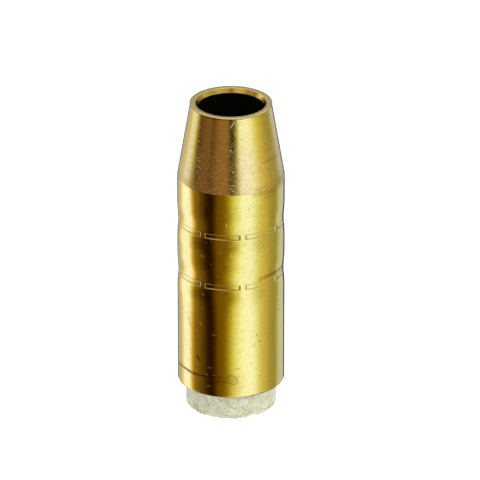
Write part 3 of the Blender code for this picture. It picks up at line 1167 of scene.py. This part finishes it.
class PanelTint(Enum):
    """The colour of a panel's light. Warm light has none of its own: it turns orange as it fades."""

    WARM = None
    PLAIN = (1.0, 1.0, 1.0)
    PALE = (1.0, 1.08, 1.06)
    COOL = (0.0, 0.15, 1.0)
    OLIVE = (1.0, 0.97, 0.28)
    ROSE = (1.0, 0.58, 0.19)
    AMBER = (1.0, 0.60, 0.03)


@dataclass(frozen=True)
class StudioPanel:
    """A soft light panel of the studio, as the brass sees it.

    Attributes:
        bearing_deg: where its middle is.
        left_deg: half of its even part, to the left.
        right_deg: half of its even part, to the right.
        fade_left_deg: how far its light takes to fade out on the left.
        fade_right_deg: how far its light takes to fade out on the right.
        strength: its brightness.
        low_deg: elevation of its lower edge.
        high_deg: elevation of its upper edge.
        rise_deg: how far its light takes to fade at those edges.
        lean_left: how far its left edge moves out for each degree below the body's mirrored view.
        lean_right: how far its right edge moves out for each degree below that.
        tint: how its light looks.
    """

    bearing_deg: float
    left_deg: float
    right_deg: float
    fade_left_deg: float
    fade_right_deg: float
    strength: float
    low_deg: float = -50.0
    high_deg: float = 90.0
    rise_deg: float = 12.0
    lean_left: float = 0.0
    lean_right: float = 0.0
    tint: PanelTint = PanelTint.WARM


@dataclass
class Studio:
    """A plain pale floor, soft light all round with a few brighter panels and dark gaps, and the camera.

    Attributes:
        dome: brightness of the light from above.
        overhead: brightness straight overhead.
        gloom: brightness between the panels.
        table_glow: brightness from below.
        warm_green: factor and power that give warm light its green from its red.
        warm_blue: factor and power that give it its blue.
        panels: what lights the brass.
        gaps: what takes a share of that light away.
    """

    camera_distance: float = 1.6
    camera_elevation_deg: float = 24.9
    lens_mm: float = 506.8
    aim: tuple[float, float, float] = (2.13 * MM, 0.0, 41.98 * MM)
    floor_radius: float = 3.0
    floor_drop: float = 0.05 * MM
    floor_columns: int = 96
    floor_shades: Place = (0.19, 0.21)
    floor_grain: float = 40.0 * MM
    floor_roughness: float = 0.8
    floor_glow: float = 0.89
    lamp_size: float = 0.7
    lamp_energy: float = 6.0
    lamp_place: tuple[float, float, float] = (0.65, -0.8, 0.95)
    view_reach: float = 20.0
    dome: float = 0.28
    overhead: float = 1.6
    gloom: float = 0.02
    table_glow: float = 0.35
    warm_green: Place = (1.06, 1.4)
    warm_blue: Place = (0.62, 4.6)
    panels: tuple[StudioPanel, ...] = (
        StudioPanel(-112.0, 11.0, 8.0, 19.0, 20.0, 0.97, -50.0, -22.0, 8.0, -0.8, 0.3),
        StudioPanel(-112.0, 7.0, 7.0, 18.0, 21.0, 0.94, -14.0, 4.0, 8.0),
        StudioPanel(-113.0, 9.0, 26.0, 20.0, 40.0, 0.22, -50.0, -22.0, 8.0, -0.8, 1.0, PanelTint.AMBER),
        StudioPanel(-112.0, 6.0, 6.0, 12.0, 12.0, 1.10, -50.0, -22.0, 8.0, -0.8, 0.3, PanelTint.COOL),
        StudioPanel(-112.0, 4.0, 5.0, 9.0, 10.0, 0.50, -14.0, 4.0, 8.0, tint=PanelTint.COOL),
        StudioPanel(34.0, 9.0, 8.0, 43.0, 60.0, 1.13, -50.0, -16.0, 10.0, 0.5, 0.5),
        StudioPanel(35.0, 12.0, 8.0, 18.0, 64.0, 1.17, -6.0, 4.0, 10.0),
        StudioPanel(43.0, 6.0, 9.0, 16.0, 16.0, 0.26, high_deg=-16.0, tint=PanelTint.COOL),
        StudioPanel(66.0, 12.0, 12.0, 12.0, 12.0, 0.10, high_deg=-16.0, tint=PanelTint.COOL),
        StudioPanel(-5.0, 12.0, 5.0, 34.0, 20.0, 0.185, high_deg=-18.0, rise_deg=10.0),
        StudioPanel(-85.0, 4.0, 3.0, 8.0, 9.0, 0.03, high_deg=-18.0, rise_deg=10.0, tint=PanelTint.OLIVE),
        StudioPanel(-42.0, 36.0, 36.0, 8.0, 14.0, 0.44, 6.0, 12.0, 24.0, tint=PanelTint.ROSE),
        StudioPanel(-22.0, 8.0, 12.0, 10.0, 8.0, 0.05, -10.0, 4.0, 10.0, tint=PanelTint.ROSE),
        StudioPanel(102.0, 12.0, 16.0, 32.0, 12.0, 0.37, high_deg=4.0, tint=PanelTint.OLIVE),
        StudioPanel(140.0, 9.0, 13.0, 18.0, 5.0, 0.64, -50.0, 4.0, 12.0, 0.35, tint=PanelTint.PALE),
        StudioPanel(-148.0, 9.0, 9.0, 6.0, 16.0, 0.52, high_deg=4.0, tint=PanelTint.PALE),
        StudioPanel(20.0, 8.0, 6.0, 12.0, 10.0, 0.42, 18.0, 34.0, 10.0, tint=PanelTint.OLIVE),
        StudioPanel(80.0, 24.0, 16.0, 36.0, 14.0, 0.40, 6.0, 34.0, 6.0, tint=PanelTint.OLIVE),
        StudioPanel(-28.0, 12.0, 12.0, 12.0, 10.0, 0.37, 18.0, 34.0, 10.0, tint=PanelTint.OLIVE),
        StudioPanel(-104.0, 20.0, 8.0, 10.0, 14.0, 0.45, 6.0, 34.0, 6.0, tint=PanelTint.OLIVE),
        StudioPanel(-40.0, 50.0, 50.0, 20.0, 20.0, 0.09, 14.0, 34.0, 8.0, tint=PanelTint.AMBER),
        StudioPanel(39.0, 5.0, 5.0, 8.0, 8.0, 0.35, 14.0, 34.0, 8.0, tint=PanelTint.OLIVE),
        StudioPanel(180.0, 60.0, 60.0, 20.0, 20.0, 0.84, 40.0, 60.0, 30.0, tint=PanelTint.PALE),
    )
    gaps: tuple[StudioPanel, ...] = (
        StudioPanel(4.5, 6.5, 6.0, 4.0, 4.0, 0.96, -12.0, 12.0, 6.0),
        StudioPanel(-42.0, 3.5, 4.5, 6.0, 9.0, 0.56, high_deg=-14.0),
        StudioPanel(-45.0, 2.5, 2.5, 4.0, 4.0, 0.52, -12.0, 4.0),
        StudioPanel(-82.0, 3.0, 4.0, 6.0, 8.0, 0.3, -12.0, 4.0),
    )

    def world(self) -> None:
        """Light the studio: a pale dome above, and round the horizon the panels that the brass mirrors."""
        world = bpy.data.worlds.new("studio")
        world.use_nodes = True
        world.cycles.sampling_method = "NONE"
        bpy.context.scene.world = world
        g = Graph(world.node_tree)
        x, y, z = g.axes(g.node("ShaderNodeTexCoord").outputs["Generated"])
        bearing = g.math("DEGREES", g.bearing(x, y))
        elevation = g.math("DEGREES", g.math("ARCSINE", z))
        warm: Value = self.gloom
        sky = g.total(
            g.ease(elevation, 20.0, 45.0, 0.0, self.dome),
            g.ease(elevation, 55.0, 80.0, 0.0, self.overhead - self.dome),
            g.ease(elevation, -72.0, -54.0, self.table_glow, 0.0),
        )
        tinted = g.scaled(PanelTint.PLAIN.value, sky)
        for panel in self.panels:
            light = self.panel_light(g, panel, bearing, elevation)
            if panel.tint is PanelTint.WARM:
                warm = g.total(warm, light)
            else:
                tinted = g.vector("ADD", tinted, g.scaled(panel.tint.value, light))
        for gap in self.gaps:
            left = g.minus(1.0, self.panel_light(g, gap, bearing, elevation))
            warm = g.times(warm, left)
            tinted = g.scaled(tinted, left)
        laws = (self.warm_green, self.warm_blue)
        green, blue = (g.times(factor, g.math("POWER", warm, power)) for factor, power in laws)
        colour = g.vector("ADD", g.join(warm, green, blue), tinted)
        seen = g.node("ShaderNodeLightPath").outputs["Is Camera Ray"]
        colour = g.blend(seen, colour, (1.0, 1.0, 1.0, 1.0))
        g.feed(world.node_tree.nodes["Background"].inputs["Color"], colour)

    def panel_light(self, g: Graph, panel: StudioPanel, bearing: Socket, elevation: Socket) -> Socket:
        """Return the brightness of one panel in each direction.

        Args:
            g: the tree to write into.
            panel: the panel, or a gap between panels.
            bearing: bearing of the direction, in degrees.
            elevation: elevation of the direction, in degrees.

        Returns:
            The panel's strength on its even part, and 0 away from it.
        """
        off = g.math("WRAP", g.minus(bearing, panel.bearing_deg), 180.0, -180.0)
        below_view = g.times(g.total(elevation, self.camera_elevation_deg), -1.0)
        off_left = g.math("MULTIPLY_ADD", below_view, panel.lean_left, off)
        off_right = g.math("MULTIPLY_ADD", below_view, -panel.lean_right, off)
        left = g.ease(off_left, -panel.left_deg - panel.fade_left_deg, -panel.left_deg)
        right = g.ease(off_right, panel.right_deg, panel.right_deg + panel.fade_right_deg, 1.0, 0.0)
        low, high, rise = panel.low_deg, panel.high_deg, panel.rise_deg
        return g.times(left, right, g.band(elevation, low - rise, low, high, high + rise), panel.strength)

    def floor(self) -> None:
        """Lay the floor: a pale lit table top, which the brass doesn't mirror."""
        wide = self.floor_radius
        rim = [
            (wide * math.sin(bearing), -wide * math.cos(bearing), -self.floor_drop)
            for bearing in even_bearings(self.floor_columns)
        ]
        mesh = bpy.data.meshes.new("floor")
        mesh.from_pydata(rim, [], [range(len(rim))])
        floor = new_piece("floor", mesh)
        f = Finish("pale_floor")
        grain = f.noise(f.place, self.floor_grain, 3.0)
        dark, light = ((shade, shade, shade, 1.0) for shade in self.floor_shades)
        f.set(Base_Color=f.blend(grain, dark, light), Roughness=self.floor_roughness)
        f.set(Emission_Color=(1.0, 1.0, 1.0, 1.0), Emission_Strength=self.floor_glow)
        mesh.materials.append(f.material)
        floor.visible_glossy = False

    def key_light(self) -> None:
        """Hang one large soft lamp to the right of the camera, which the brass doesn't mirror."""
        lamp = bpy.data.lights.new("key", "AREA")
        lamp.shape = "DISK"
        lamp.size = self.lamp_size
        lamp.energy = self.lamp_energy
        key = bpy.data.objects.new("key", lamp)
        key.location = self.lamp_place
        key.visible_glossy = False
        key.rotation_euler = (-key.location).to_track_quat("-Z", "Y").to_euler()
        bpy.context.scene.collection.objects.link(key)

    def camera(self) -> None:
        """Set up the camera at the photograph's angle."""
        lens = bpy.data.cameras.new("camera")
        lens.lens = self.lens_mm
        lens.clip_end = self.view_reach
        camera = bpy.data.objects.new("camera", lens)
        tilt = math.radians(self.camera_elevation_deg)
        away = Vector((0.0, -math.cos(tilt), math.sin(tilt))) * self.camera_distance
        camera.location = Vector(self.aim) + away
        camera.rotation_euler = (-away).to_track_quat("-Z", "Y").to_euler()
        bpy.context.scene.collection.objects.link(camera)
        bpy.context.scene.camera = camera

    def set_up(self) -> None:
        """Make the floor, the lights and the camera, and show colours as they are."""
        self.world()
        self.floor()
        self.key_light()
        self.camera()
        bpy.context.scene.view_settings.view_transform = "Standard"


def main() -> None:
    """Build the nozzle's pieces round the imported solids, in order, and set up the studio."""
    logging.basicConfig(level=logging.INFO, format="%(name)s: %(message)s")
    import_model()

    shell_low, shell_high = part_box("nozzle_shell")
    _, sleeve_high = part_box("insulator_sleeve")
    insert_low, insert_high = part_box("slip_on_insert")

    StrokeGroup()
    shell = NozzleShell(shell_high.x, shell_low.z, shell_high.z)
    finishes = {
        Zone.NOSE: TurnedBrass().material(),
        Zone.BODY: DrawnBrass().material(),
        Zone.BORE: BorePaintedShade().material(),
    }
    stands_for(shell.build(finishes), "nozzle_shell")

    sleeve = InsulatorSleeve(sleeve_high.x, sleeve_high.z, shell_low.z)
    stands_for(sleeve.build(GlassFibre().material()), "insulator_sleeve")

    insert = SlipOnInsert(insert_high.x, insert_high.z, insert_low.z)
    stands_for(insert.build(ReamedBrass().material()), "slip_on_insert")

    Studio().set_up()


if __name__ == "__main__":
    main()
